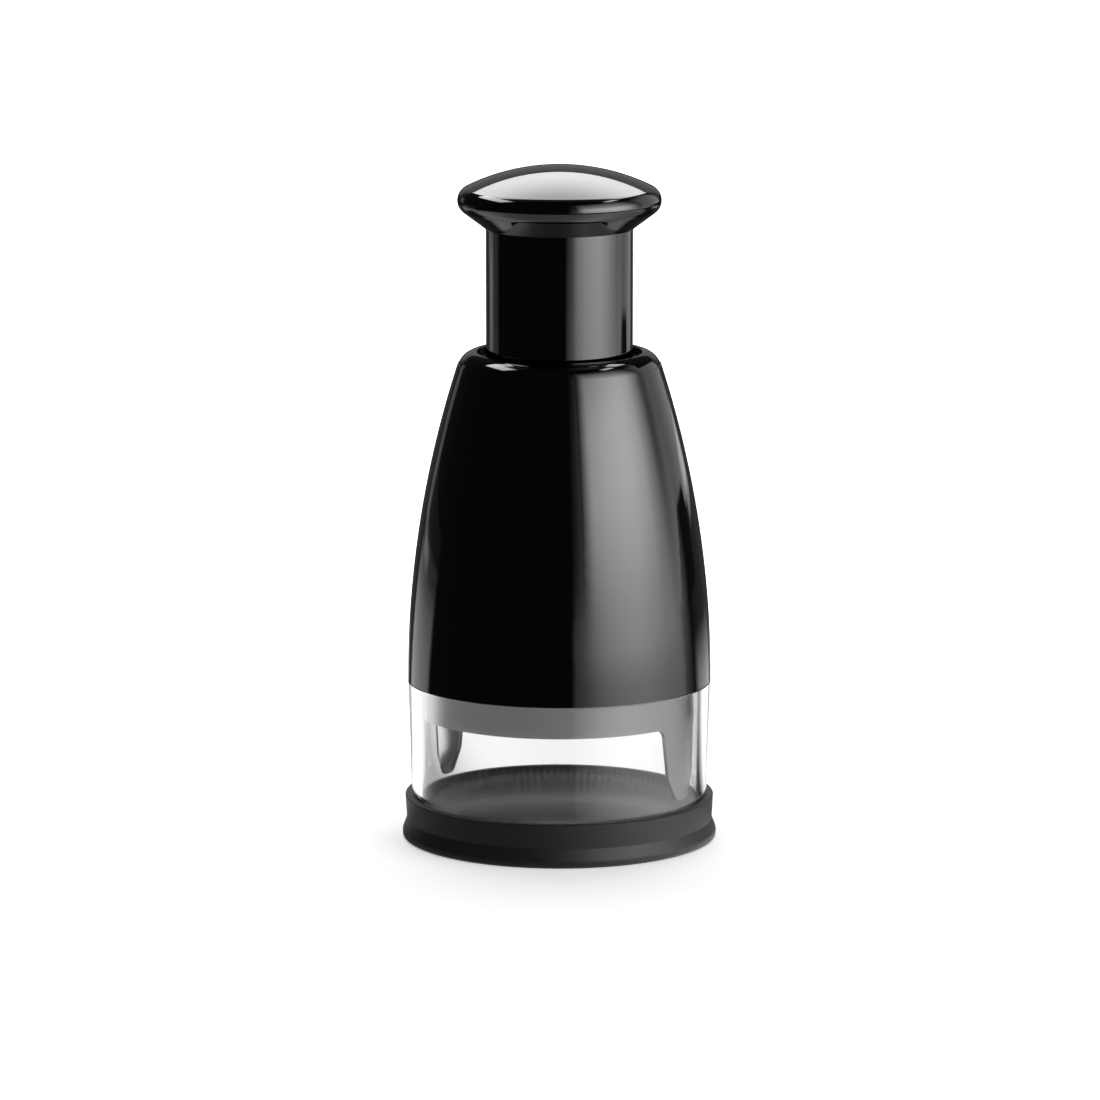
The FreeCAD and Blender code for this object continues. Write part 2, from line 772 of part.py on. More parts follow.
def blade_tabs(thickness, low, high):
    """One tab on each straight side, near its outer end."""
    tabs = []
    for index, (start, end, left) in enumerate(zigzag_sides()):
        share = tab_place if index % 2 == 0 else 1 - tab_place
        middle = start + (end - start) * share
        along = (end - start).normalize()
        points = [middle + along * (u * tab_width / 2) + left * (v * thickness / 2)
                  for u, v in ((-1, -1), (1, -1), (1, 1), (-1, 1))]
        face = Part.Face(outline([(point.x, point.y) for point in points], in_plan(low)))
        tabs.append(face.extrude(vec(0, 0, high - low)))
    return tabs


def chopper_blade():
    edge_top = edge_rest + edge_height
    strip = Part.Face(zigzag_outline(blade_thickness, edge_top)).extrude(vec(0, 0, blade_top - edge_top))
    ground = [zigzag_outline(edge_thickness, edge_rest), zigzag_outline(blade_thickness, edge_top)]
    edge = Part.makeLoft(ground, True, True)
    return strip.fuse([edge] + blade_tabs(blade_thickness, blade_top, plate_top + tab_rise))


def blade_plate():
    plate = disc(plate_radius, blade_top, plate_top).cut(spigot(blade_top, plate_top))
    for tab in blade_tabs(blade_thickness, blade_top, plate_top):
        plate = plate.cut(tab)
    return plate


def wiper_plate():
    body = turned([
        (0, wiper_low), (wiper_radius, wiper_low, edge_round), (wiper_radius, wiper_rim_low),
        (wiper_rim_radius, wiper_rim_low), (wiper_rim_radius, wiper_low + wiper_rise, edge_round),
        (0, wiper_low + wiper_rise)])
    slot = Part.Face(zigzag_outline(blade_thickness + 2 * slot_gap, wiper_low, slot_gap))
    return body.cut(slot.extrude(vec(0, 0, wiper_rise)))


def wiper_retainer():
    low = wiper_low + wiper_rise + seat_gap
    return ring(carrier_bore - wiper_retainer_width, carrier_bore, low, low + wiper_retainer_rise)


def rivet_pins(radius, spare):
    """Four pins through the guard and its carrier, each longer than the two walls by spare at both ends."""
    pin = Part.makeCylinder(radius, guard_radius - carrier_bore + 2 * spare,
                            vec(carrier_bore - spare, 0, guard_top - rivet_drop), vec(1, 0, 0))
    return around(pin, rivet_count, rivet_start)


def guard_carrier():
    body = turned([
        (carrier_bore - carrier_lip_width, carrier_low), (carrier_radius, carrier_low),
        (carrier_radius, guard_top), (carrier_flange_radius, guard_top),
        (carrier_flange_radius, carrier_top), (carrier_bore, carrier_top),
        (carrier_bore, wiper_rim_low - seat_gap),
        (carrier_bore - carrier_lip_width, wiper_rim_low - seat_gap)])
    for hole in rivet_pins(rivet_radius, rivet_head_rise):
        body = body.cut(hole)
    return body


def guard_rivets():
    walls = ring(carrier_bore, guard_radius, guard_low, guard_top)
    heads = [pin.cut(walls) for pin in rivet_pins(rivet_head_radius, rivet_head_rise)]
    shanks = rivet_pins(rivet_radius, rivet_head_rise)
    return Part.makeCompound([shank.fuse(head) for shank, head in zip(shanks, heads)])


def tongue_outline(inset, place):
    """One tongue, seen along the radius: straight tapering sides and a round end."""
    half = tongue_width / 2 - inset
    side_half = tongue_tip_width / 2 - inset
    side_low = tongue_low + tongue_tip_rise - inset / 2
    end_half = tongue_end_width / 2 - inset / 2
    end_low = tongue_low + inset
    tip = [(-side_half, side_low, tongue_side_round), (-end_half, end_low, tongue_end_round),
           (end_half, end_low, tongue_end_round), (side_half, side_low, tongue_side_round)]
    if inset:
        top = guard_low - inset
        return outline([(-half, top)] + tip + [(half, top)], place)
    shelf = half + 2 * tongue_root
    top = guard_low + tongue_root
    left = [(-shelf, top), (-shelf, guard_low), (-half, guard_low, tongue_root)]
    right = [(half, guard_low, tongue_root), (shelf, guard_low), (shelf, top)]
    return outline(left + tip + right, place)


def blade_guard():
    inside = carrier_radius / 2
    outside = guard_radius + guard_wall
    sleeve = ring(carrier_radius, guard_radius, tongue_low, guard_top)
    skirt = disc(outside, guard_low, guard_top)
    # The tongues and their pressed-in faces are cut along the radius.
    tongue = Part.Face(tongue_outline(0, lambda across, height: vec(inside, across, height)))
    pocket = Part.Face(tongue_outline(tongue_border, lambda across, height: vec(inside, across, height)))
    tongue = tongue.extrude(vec(outside - inside, 0, 0))
    pocket = pocket.extrude(vec(outside - inside, 0, 0))
    pocket = pocket.common(disc(carrier_radius + tongue_pocket, tongue_low, guard_low))
    guard = sleeve.common(skirt.fuse(around(tongue, 2, tongue_angle)))
    for cut in around(pocket, 2, tongue_angle) + rivet_pins(rivet_radius, rivet_head_rise):
        guard = guard.cut(cut)
    return guard.removeSplitter()


def biarc(start, start_along, end, end_along):
    """Two arcs that meet smoothly, from one point and direction to another."""
    apart = end - start
    total = start_along + end_along
    spread = 2 * (1 - start_along.dot(end_along))
    along = apart.dot(total)
    reach = (math.sqrt(along ** 2 + spread * apart.dot(apart)) - along) / spread
    first_corner = start + start_along * reach
    second_corner = end - end_along * reach
    joint = (first_corner + second_corner) * 0.5
    arcs = []
    for begin, corner, finish in ((start, first_corner, joint), (joint, second_corner, end)):
        chord_middle = (begin + finish) * 0.5
        half_chord = (finish - begin).Length / 2
        rise = corner - chord_middle
        tilt = math.atan2(rise.Length, half_chord)
        top = chord_middle + rise.normalize() * (half_chord * math.tan(tilt / 2))
        arcs.append(Part.Arc(begin, top, finish).toShape())
    return arcs


def least_gap(path, wire_radius, turn_length):
    """Least gap of a coiled tube to itself, measured between points more than half a turn apart."""
    count = spring_turns * 36
    points = path.discretize(Number=count)
    apart = math.ceil(count * turn_length / path.Length / 2)
    distances = [points[first].distanceToPoint(points[second])
                 for first in range(count) for second in range(first + apart, count)]
    return min(distances) - 2 * wire_radius


def return_spring():
    low = column_seat + spring_washer_rise + spring_wire
    high = cap_low - spring_wire
    climb = (high - low) / spring_turns
    slope = climb / (2 * math.pi)

    def at(turn):
        return vec(spring_radius * math.cos(turn), spring_radius * math.sin(turn), low + slope * turn)

    def heading(turn):
        return vec(-spring_radius * math.sin(turn), spring_radius * math.cos(turn), slope).normalize()

    arcs = []
    for half_turn in range(spring_turns * 2):
        begin = half_turn * math.pi
        finish = begin + math.pi
        arcs += biarc(at(begin), heading(begin), at(finish), heading(finish))
    path = Part.Wire(arcs)
    section = Part.Wire(Part.Circle(at(0), heading(0), spring_wire).toShape())
    pipe = Part.BRepOffsetAPI.MakePipeShell(path)
    pipe.add(section)
    pipe.build()
    pipe.makeSolid()
    gap = least_gap(path, spring_wire, path.Length / spring_turns)
    print("spring: %d turns, pitch %.2f mm, least gap to itself %.2f mm" % (spring_turns, climb, gap))
    return pipe.shape()


pieces = [
    rubber_base, clear_cup, housing_shell, neck_ring, guide_bush, guide_column, column_screws, bumper_ring,
    spring_washer, return_spring, twist_nut, nut_retainer, guard_carrier, guard_rivets, blade_guard,
    wiper_plate, wiper_retainer, knob_cap, knob_base, plunger_tube, stop_washer, bearing_cap, shaft_bush,
    knob_screws, drive_shaft, shaft_washer, shaft_clip, blade_hub, blade_plate, chopper_blade, hub_screw]

os.makedirs("parts", exist_ok=True)
for piece in pieces:
    shape = piece()
    if not shape.isValid():
        print(piece.__name__, "is not valid")
    shape.exportStep("parts/" + piece.__name__ + ".step")
    box = shape.BoundBox
    print("%-15s solids %d  volume %9.1f  z %6.2f to %6.2f  radius %5.2f" % (
        piece.__name__, len(shape.Solids), shape.Volume, box.ZMin, box.ZMax, max(box.XMax, -box.XMin)))
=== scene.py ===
import json
import math

import bmesh
import bpy
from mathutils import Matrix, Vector


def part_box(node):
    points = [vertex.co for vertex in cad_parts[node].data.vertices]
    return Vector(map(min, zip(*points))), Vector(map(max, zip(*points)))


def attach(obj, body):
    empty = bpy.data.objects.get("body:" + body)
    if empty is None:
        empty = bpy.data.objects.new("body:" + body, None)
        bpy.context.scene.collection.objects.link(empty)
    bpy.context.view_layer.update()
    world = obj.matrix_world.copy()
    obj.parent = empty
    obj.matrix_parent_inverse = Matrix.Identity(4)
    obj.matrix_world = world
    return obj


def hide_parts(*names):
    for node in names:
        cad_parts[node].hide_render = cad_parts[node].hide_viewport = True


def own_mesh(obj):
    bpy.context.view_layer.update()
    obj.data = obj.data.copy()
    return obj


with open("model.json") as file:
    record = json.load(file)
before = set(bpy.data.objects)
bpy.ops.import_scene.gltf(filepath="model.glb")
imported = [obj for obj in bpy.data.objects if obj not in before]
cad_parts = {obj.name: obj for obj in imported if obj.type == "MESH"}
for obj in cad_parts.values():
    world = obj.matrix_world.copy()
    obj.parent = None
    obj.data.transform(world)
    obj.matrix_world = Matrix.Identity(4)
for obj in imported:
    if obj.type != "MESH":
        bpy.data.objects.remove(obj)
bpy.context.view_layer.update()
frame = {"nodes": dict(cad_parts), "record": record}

scene = bpy.context.scene
nodes = frame["nodes"]
print("frame loaded:", len(nodes), "nodes")


# Camera: it stands in front, looks along +Y and slightly down, and its lens is worked out for a frame of 1100
# pixels.
# The tilt is in degrees, and the focal length and the frame are in pixels.
view = {"x": -0.0031, "y": -2.1904, "z": 0.5000, "tilt": 10.45, "focal": 6743.9, "frame": 1100,
        "sensor": 36.0, "nearest": 0.01, "farthest": 100}


def makeCamera():
    data = bpy.data.cameras.new("camera")
    data.sensor_width = view["sensor"]
    data.lens = view["focal"] / view["frame"] * view["sensor"]
    data.clip_start = view["nearest"]
    data.clip_end = view["farthest"]
    camera = bpy.data.objects.new("camera", data)
    camera.location = (view["x"], view["y"], view["z"])
    camera.rotation_euler = (math.radians(90 - view["tilt"]), 0, 0)
    scene.collection.objects.link(camera)
    scene.camera = camera


makeCamera()


# Helpers for node trees

def connect(tree, value, socket):
    if isinstance(value, bpy.types.NodeSocket):
        tree.links.new(value, socket)
    else:
        socket.default_value = value


def addNode(tree, kind, inputs=None, **settings):
    made = tree.nodes.new("ShaderNode" + kind)
    for name, value in settings.items():
        setattr(made, name, value)
    for name, value in (inputs or {}).items():
        connect(tree, value, made.inputs[name])
    return made


def calc(tree, operation, *values):
    return addNode(tree, "Math", dict(enumerate(values)), operation=operation).outputs[0]


def plus(tree, first, second):
    return calc(tree, "ADD", first, second)


def minus(tree, first, second):
    return calc(tree, "SUBTRACT", first, second)


def times(tree, first, second):
    return calc(tree, "MULTIPLY", first, second)


def span(tree, mask, low, high):
    return plus(tree, times(tree, mask, high - low), low)


def smooth(tree, value, low, high, lowest=0.0, highest=1.0):
    # Between low and high the result goes softly from lowest to highest.
    ends = {"Value": value, "From Min": low, "From Max": high, "To Min": lowest, "To Max": highest}
    return addNode(tree, "MapRange", ends, interpolation_type="SMOOTHSTEP").outputs["Result"]


def window(tree, value, low, high, soft):
    # One between low and high, with soft ends
    climb = smooth(tree, value, low - soft, low + soft)
    return times(tree, climb, smooth(tree, value, high - soft, high + soft, 1.0, 0.0))


def grey(value):
    return (value, value, value, 1)


def curve(tree, value, table, most=1.0):
    # A soft curve through the table's points, held between zero and most
    first, last = table[0][0], table[-1][0]
    share = addNode(tree, "MapRange", {"Value": value, "From Min": first, "From Max": last})
    made = addNode(tree, "ValToRGB", {"Fac": share.outputs["Result"]})
    band = made.color_ramp
    band.interpolation = "CARDINAL"
    while len(band.elements) < len(table):
        band.elements.new(0.5)
    for element, (place, level) in zip(band.elements, table):
        element.position = (place - first) / (last - first)
        element.color = grey(level / most)
    return times(tree, made.outputs["Color"], most)


def blendColors(tree, factor, first, second):
    made = addNode(tree, "Mix", {0: factor}, data_type="RGBA")
    connect(tree, first, made.inputs[6])
    connect(tree, second, made.inputs[7])
    return made.outputs[2]


def noise(tree, place, scale, detail=2.0, distortion=0.0):
    look = {"Vector": place, "Scale": scale, "Detail": detail, "Distortion": distortion}
    return addNode(tree, "TexNoise", look).outputs["Fac"]


def ownPlace(tree):
    # The shaded point's X, Y and Z in the object's own space
    return addNode(tree, "SeparateXYZ", {0: addNode(tree, "TexCoord").outputs["Object"]}).outputs


def reachOf(tree, x, y):
    # Distance from the upright axis
    return calc(tree, "SQRT", plus(tree, times(tree, x, x), times(tree, y, y)))


def azimuthOf(tree, x, y):
    return calc(tree, "DEGREES", calc(tree, "ARCTAN2", x, times(tree, y, -1)))


def newMaterial(name):
    material = bpy.data.materials.new(name)
    material.use_nodes = True
    material.node_tree.nodes.clear()
    return material, material.node_tree


def finishSurface(tree, shader):
    output = tree.nodes.new("ShaderNodeOutputMaterial")
    tree.links.new(shader, output.inputs["Surface"])


def glowing(tree, strength):
    return addNode(tree, "Emission", {"Strength": strength}).outputs[0]


# Studio. Azimuths are degrees from the camera's side, positive to the right. Lengths are in metres, and
# glows are radiances. A fade is what smooth takes, and a stretch is what window takes.

def stageMesh(name, corners, faces=None):
    mesh = bpy.data.meshes.new(name)
    mesh.from_pydata(corners, [], faces or [tuple(range(len(corners)))])
    made = bpy.data.objects.new(name, mesh)
    scene.collection.objects.link(made)
    return made


def makeCard(name, corners, faces=None, stand=(0, 0, 0), turn=0):
    # A card shows in gloss alone.
    made = stageMesh(name, corners, faces)
    made.location = stand
    made.rotation_euler = (0, 0, turn)
    made.visible_camera = False
    made.visible_diffuse = False
    made.visible_transmission = False
    made.visible_shadow = False
    material, tree = newMaterial(name + "Glow")
    made.data.materials.append(material)
    return tree


def clearEdged(tree, shape, strength):
    # The card's glow is added to what shows through it.
    passing = addNode(tree, "BsdfTransparent").outputs[0]
    shown = addNode(tree, "AddShader", {0: glowing(tree, times(tree, shape, strength)), 1: passing})
    finishSurface(tree, shown.outputs[0])


def levelCorners(frontHalf, backHalf, front, back, height, middle=0.0):
    return [(middle - frontHalf, front, height), (middle - backHalf, back, height),
            (middle + backHalf, back, height), (middle + frontHalf, front, height)]


# Key wall: it curves round the right side. Its glow by azimuth goes from foot to upper as it rises, and a
# pale band runs along its foot.
keyWall = {
    "radius": 0.86, "from": -6, "to": 132, "height": 1.5, "steps": 46, "strength": 8.9, "least": 0.03,
    "foot": [(10, 0.0), (24, 0.34), (36, 0.72), (57, 1.0), (72, 0.85), (85, 0.60), (100, 0.36), (118, 0.0)],
    "upper": [(9, 0.0), (16, 0.05), (20, 0.12), (27, 0.62), (38, 0.84), (60, 1.0), (73, 0.88), (84, 0.58),
              (98, 0.12), (116, 0.0)],
    "upperFade": (-0.1, 0.30),
    "rise": [(0.0, 0.52), (0.12, 0.75), (0.27, 0.97), (0.42, 1.0), (0.6, 0.55), (0.95, 0.25), (1.5, 0.0)],
    "bandStart": (8, 13, 0.0, 0.5), "bandEnd": (95, 115, 1.0, 0.0), "bandRise": (0.0, 0.15, 1.0, 0.0)}


def keyGlow(tree, azimuth, rise):
    # The same light on the wall and, at its foot, on the floor
    foot, upper = (curve(tree, azimuth, keyWall[part]) for part in ("foot", "upper"))
    shape = blendColors(tree, smooth(tree, rise, *keyWall["upperFade"]), foot, upper)
    return times(tree, shape, keyWall["strength"])


def keyLight():
    radius, steps = keyWall["radius"], keyWall["steps"]
    corners = []
    for step in range(steps + 1):
        turn = math.radians(keyWall["from"] + (keyWall["to"] - keyWall["from"]) * step / steps)
        for height in (0, keyWall["height"]):
            corners.append((radius * math.sin(turn), -radius * math.cos(turn), height))
    faces = [(2 * step, 2 * step + 2, 2 * step + 3, 2 * step + 1) for step in range(steps)]
    tree = makeCard("keyWall", corners, faces)
    place = ownPlace(tree)
    azimuth, height = azimuthOf(tree, place["X"], place["Y"]), place["Z"]
    glow = times(tree, keyGlow(tree, azimuth, height), curve(tree, height, keyWall["rise"]))
    band = smooth(tree, height, *keyWall["bandRise"])
    for end in ("bandStart", "bandEnd"):
        band = times(tree, band, smooth(tree, azimuth, *keyWall[end]))
    finishSurface(tree, glowing(tree, plus(tree, plus(tree, glow, band), keyWall["least"])))


# Side card: it stands upright at the back right. Its own X grows with the azimuth. Its lower edge climbs
# along X, and drops a little again farther on.
sideCard = {"azimuth": 121, "distance": 0.40, "left": -0.18, "right": 0.22, "low": 0.0, "high": 0.62,
            "strength": 0.85, "softShare": 0.12, "climb": (-0.135, -0.054, 0.05, 0.119),
            "drop": (0.033, 0.055, 0.0, 0.02), "edge": 0.004, "topFade": (0.403, 0.62, 1.0, 0.0)}


def sideLight():
    low, high, left, right = (sideCard[side] for side in ("low", "high", "left", "right"))
    corners = [(left, 0, low), (right, 0, low), (right, 0, high), (left, 0, high)]
    turn, distance = math.radians(sideCard["azimuth"]), sideCard["distance"]
    stand = (distance * math.sin(turn), -distance * math.cos(turn), 0)
    tree = makeCard("sideCard", corners, stand=stand, turn=turn)
    place = ownPlace(tree)
    across, height = place["X"], place["Z"]
    soft = (right - left) * sideCard["softShare"]
    shape = window(tree, across, left + soft, right - soft, soft)
    drop = smooth(tree, across, *sideCard["drop"])
    lowerEdge = minus(tree, smooth(tree, across, *sideCard["climb"]), drop)
    above = smooth(tree, minus(tree, height, lowerEdge), -sideCard["edge"], sideCard["edge"])
    shape = times(tree, times(tree, shape, above), smooth(tree, height, *sideCard["topFade"]))
    clearEdged(tree, shape, sideCard["strength"])


# Rim cards: level cards at both sides, for the highlights on the neck ring
rimCards = {
    "rimLeft": {"left": -0.60, "right": -0.31, "front": -0.04, "back": 0.60, "height": 0.76,
                "strength": 8.0, "softShare": 0.1},
    "rimRight": {"left": 0.30, "right": 0.40, "front": -0.04, "back": 0.17, "height": 0.76,
                 "strength": 6.5, "softShare": 0.1}}


def rimLight(name, card):
    left, right, front, back = (card[side] for side in ("left", "right", "front", "back"))
    half = (right - left) / 2
    tree = makeCard(name, levelCorners(half, half, front, back, card["height"], left + half))
    place = ownPlace(tree)
    soft = (right - left) * card["softShare"]
    across = window(tree, place["X"], left + soft, right - soft, soft)
    along = window(tree, place["Y"], front + soft, back - soft, soft)
    clearEdged(tree, times(tree, across, along), card["strength"])


# Top card: it lies level above and behind, and glows from its front to its back as glow says.
topCard = {"height": 1.125, "front": 0.43, "back": 1.95, "frontHalf": 0.55, "backHalf": 0.66,
           "glow": [(0.0, 4.6), (0.3, 5.6), (1.0, 3.4)], "most": 8.0}


def topLight():
    front, back = topCard["front"], topCard["back"]
    corners = levelCorners(topCard["frontHalf"], topCard["backHalf"], front, back, topCard["height"])
    tree = makeCard("topCard", corners)
    depth = calc(tree, "DIVIDE", minus(tree, ownPlace(tree)["Y"], front), back - front)
    finishSurface(tree, glowing(tree, curve(tree, depth, topCard["glow"], topCard["most"])))


# Top flag: it is dark and keeps the top card's light off the neck ring. The lifted bell passes through it,
# and then reflects it from very near.
topFlag = {"half": 0.10, "front": 0.015, "back": 0.14, "height": 0.207, "strength": 0.03}


def makeFlag():
    half = topFlag["half"]
    corners = levelCorners(half, half, topFlag["front"], topFlag["back"], topFlag["height"])
    tree = makeCard("topFlag", corners)
    finishSurface(tree, glowing(tree, topFlag["strength"]))


# Lamps: with the world and the floor, they light everything that isn't a reflection.
lamps = {"topLamp": {"place": (0, 0.85, 1.42), "size": 1.5, "power": 15.5},
         "keyLamp": {"place": (1.1, -0.7, 0.9), "size": 1.2, "power": 6.0}}
lampAim = (0, 0, 0.1)


def makeLamps():
    for name, lamp in lamps.items():
        data = bpy.data.lights.new(name, "AREA")
        data.shape = "DISK"
        data.size = lamp["size"]
        data.energy = lamp["power"]
        made = bpy.data.objects.new(name, data)
        made.location = lamp["place"]
        way = Vector(lampAim) - Vector(lamp["place"])
        made.rotation_euler = way.to_track_quat("-Z", "Y").to_euler()
        made.visible_glossy = False
        made.visible_transmission = False
        scene.collection.objects.link(made)


# Floor: what a low ray sees in gloss is painted sheen: the key wall's foot, patches of painted reflection
# below, and dark elsewhere. Each patch is a stretch of azimuth with fades along the distance from the axis.
paintedSheenPatches = {
    "edge": {"stretch": (10.5, 105, 2.5), "level": 0.5, "fades": []},
    "left": {"stretch": (-144, -111, 2.5), "level": 1.0,
             "fades": [(0.3, 1.2, 1.0, 0.2), (1.4, 2.0, 1.0, 0.2)]},
    "strip": {"stretch": (-139, -127, 2.0), "level": 0.5, "fades": [(0.9, 1.2), (1.35, 1.65, 1.0, 0.0)]},
    "line": {"stretch": (-146, -139, 1.5), "level": 1.0, "fades": [(1.2, 1.6, 0.0, 0.3)]},
    "right": {"stretch": (122, 150, 5.0), "level": 1.0, "fades": [(0.25, 0.55, 1.1, 0.05)]},
    "far": {"stretch": (138, 150, 2.5), "level": 1.0, "fades": [(1.4, 1.9, 0.0, 0.85)]}}
floorSheenLook = {"keyFade": (0.10, 0.86, 0.20, 0.52), "backFrom": 156.0, "backFade": (0.25, 0.45, 0.7, 0.0),
                  "least": (144, 150, 0.03, 0.07)}


def floorSheen(tree, reach, azimuth):
    total = times(tree, keyGlow(tree, azimuth, 0.0), smooth(tree, reach, *floorSheenLook["keyFade"]))
    for patch in paintedSheenPatches.values():
        glow = times(tree, window(tree, azimuth, *patch["stretch"]), patch["level"])
        for fade in patch["fades"]:
            glow = times(tree, glow, smooth(tree, reach, *fade))
        total = plus(tree, total, glow)
    turned = calc(tree, "ABSOLUTE", azimuth)
    behind = calc(tree, "GREATER_THAN", turned, floorSheenLook["backFrom"])
    back = times(tree, behind, smooth(tree, reach, *floorSheenLook["backFade"]))
    return plus(tree, plus(tree, total, back), smooth(tree, turned, *floorSheenLook["least"]))


# paperAndShade is the floor's glow along the distance from the axis, for a ray from the camera: a painted
# shadow near the axis, and white farther out. steep is the floor's painted reflection in gloss to a steep
# ray, by azimuth, and lowRays says which rays are low.
floorLook = {
    "reach": 8.0, "paperAndShade": (0.11, 0.17, 0.31, 1.05), "albedo": 0.90, "bounce": 0.6,
    "lowRays": (0.58, 0.72), "behind": (112, 124), "behindReach": (0.20, 0.27), "steepLevel": 1.05,
    "steep": [(-180, 0.6), (-125, 0.75), (-95, 1.4), (-65, 0.85), (15, 0.9), (52, 1.9), (70, 1.6), (95, 0.9),
              (130, 0.6), (180, 0.6)],
    "steepMost": 2.0,
    "throughCup": [(-180, 1.1), (-165, 1.1), (-150, 0.5), (150, 0.95), (165, 1.1), (180, 1.1)],
    "throughMost": 2.0,
    "onSteel": [(-180, 0.9), (-154, 1.1), (-130, 1.3), (-116, 1.1), (-104, 0.42), (-85, 0.25), (5, 0.24),
                (40, 0.41), (75, 0.36), (106, 0.30), (124, 0.0), (134, 0.1), (147, 2.0), (180, 0.9)],
    "steelMost": 3.0}


def makeFloor():
    wide = floorLook["reach"]
    made = stageMesh("floor", [(-wide, -wide, 0), (wide, -wide, 0), (wide, wide, 0), (-wide, wide, 0)])
    material, tree = newMaterial("floorWhite")
    place = ownPlace(tree)
    reach, azimuth = reachOf(tree, place["X"], place["Y"]), azimuthOf(tree, place["X"], place["Y"])
    rays = addNode(tree, "LightPath").outputs

    # Seen directly it is white paper that takes a real shadow, and its glow is painted darker near the axis:
    # a painted shadow round the base.
    paperAndShade = glowing(tree, smooth(tree, reach, *floorLook["paperAndShade"]))
    lit = addNode(tree, "BsdfDiffuse", {"Color": grey(floorLook["albedo"])}).outputs[0]
    seen = addNode(tree, "AddShader", {0: paperAndShade, 1: lit}).outputs[0]

    # In a gloss it glows as a painted reflection: pale to a steep ray, and the studio's painted sheen to a
    # low one.
    facing = addNode(tree, "LayerWeight", {"Blend": 0.5}).outputs["Facing"]
    behind = smooth(tree, calc(tree, "ABSOLUTE", azimuth), *floorLook["behind"])
    far = times(tree, behind, smooth(tree, reach, *floorLook["behindReach"]))
    steep = curve(tree, azimuth, floorLook["steep"], floorLook["steepMost"])
    steep = times(tree, steep, minus(tree, floorLook["steepLevel"], far))
    low = smooth(tree, facing, *floorLook["lowRays"])
    sheen = blendColors(tree, low, steep, floorSheen(tree, reach, azimuth))

    # Through the cup it has painted levels of its own, and others again where the steel reflects it: a
    # painted reflection in the steel.
    inCup = curve(tree, azimuth, floorLook["throughCup"], floorLook["throughMost"])
    steel = curve(tree, azimuth, floorLook["onSteel"], floorLook["steelMost"])
    mirrored = calc(tree, "GREATER_THAN", rays["Glossy Depth"], 0.5)
    through = blendColors(tree, mirrored, inCup, steel)
    sheen = blendColors(tree, rays["Is Transmission Ray"], sheen, through)
    sheen = blendColors(tree, rays["Is Diffuse Ray"], sheen, grey(floorLook["bounce"]))
    shown = addNode(tree, "MixShader", {0: rays["Is Camera Ray"], 1: glowing(tree, sheen), 2: seen})
    finishSurface(tree, shown.outputs[0])
    made.data.materials.append(material)


# World: in gloss a dim wall stands behind, with a pale line at its left and a little light from above it.
worldLook = {"seen": 1.0, "bounce": 0.5, "throughCup": 0.38, "least": 0.03,
             "wallTurn": (148, 166), "wallRise": (3, 23.5, 1.5), "wall": 0.21,
             "aboveTurn": (95, 112), "aboveRise": (35, 52), "above": 0.10,
             "line": (-148, -139, 1.5), "lineRise": (5, 12, 0.28, 0.0)}


def makeWorld():
    world = bpy.data.worlds.new("studio")
    scene.world = world
    world.use_nodes = True
    tree = world.node_tree
    tree.nodes.clear()
    rays = addNode(tree, "LightPath").outputs
    way = addNode(tree, "SeparateXYZ", {0: addNode(tree, "TexCoord").outputs["Generated"]}).outputs
    azimuth = azimuthOf(tree, way["X"], way["Y"])
    turned = calc(tree, "ABSOLUTE", azimuth)
    rise = calc(tree, "DEGREES", calc(tree, "ARCSINE", way["Z"]))
    wall = smooth(tree, turned, *worldLook["wallTurn"])
    wall = times(tree, wall, window(tree, rise, *worldLook["wallRise"]))
    above = smooth(tree, turned, *worldLook["aboveTurn"])
    above = times(tree, above, smooth(tree, rise, *worldLook["aboveRise"]))
    line = window(tree, azimuth, *worldLook["line"])
    line = times(tree, line, smooth(tree, rise, *worldLook["lineRise"]))
    dim = plus(tree, times(tree, wall, worldLook["wall"]), times(tree, above, worldLook["above"]))
    dim = plus(tree, plus(tree, dim, line), worldLook["least"])
    for ray, level in (("Transmission", "throughCup"), ("Diffuse", "bounce"), ("Camera", "seen")):
        dim = blendColors(tree, rays["Is " + ray + " Ray"], dim, grey(worldLook[level]))
    back = addNode(tree, "Background", {"Color": dim})
    output = tree.nodes.new("ShaderNodeOutputWorld")
    tree.links.new(back.outputs[0], output.inputs["Surface"])


keyLight()
sideLight()
for name, card in rimCards.items():
    rimLight(name, card)
topLight()
makeFlag()
makeLamps()
makeFloor()
makeWorld()
scene.view_settings.view_transform = "Standard"
print("studio made")


# Shared effects: each group gives only masks, values and normals.

def newGroup(name, inputs, outputs):
    group = bpy.data.node_groups.new(name, "ShaderNodeTree")
    for label, kind, value in inputs:
        socket = group.interface.new_socket(label, in_out="INPUT", socket_type="NodeSocket" + kind)
        socket.default_value = value
    for label, kind in outputs:
        group.interface.new_socket(label, in_out="OUTPUT", socket_type="NodeSocket" + kind)
    start = group.nodes.new("NodeGroupInput")
    end = group.nodes.new("NodeGroupOutput")
    return group, start.outputs, end.inputs


def useGroup(tree, group, **values):
    made = tree.nodes.new("ShaderNodeGroup")
    made.node_tree = group
    for name, value in values.items():
        connect(tree, value, made.inputs[name])
    return made.outputs


# Each scratch layer is a turn in radians and how finely its lines are packed.
scratchLook = {"layers": [(0.4, 3.0), (1.9, 4.0), (2.7, 2.5)], "turnShares": (1.0, 0.7, 1.3), "across": 40,
               "along": 3, "scale": 9.0, "line": (0.0, 0.006, 1.0, 0.0), "patchScale": 60.0,
               "patchStep": 20, "patch": (0.52, 0.66)}
dustLook = {"scale": 420.0, "speck": (0.05, 0.11, 1.0, 0.0), "bareShare": 0.86}
smearLook = {"scale": 28.0, "detail": 4.0, "distortion": 1.2, "patch": (0.45, 0.72)}


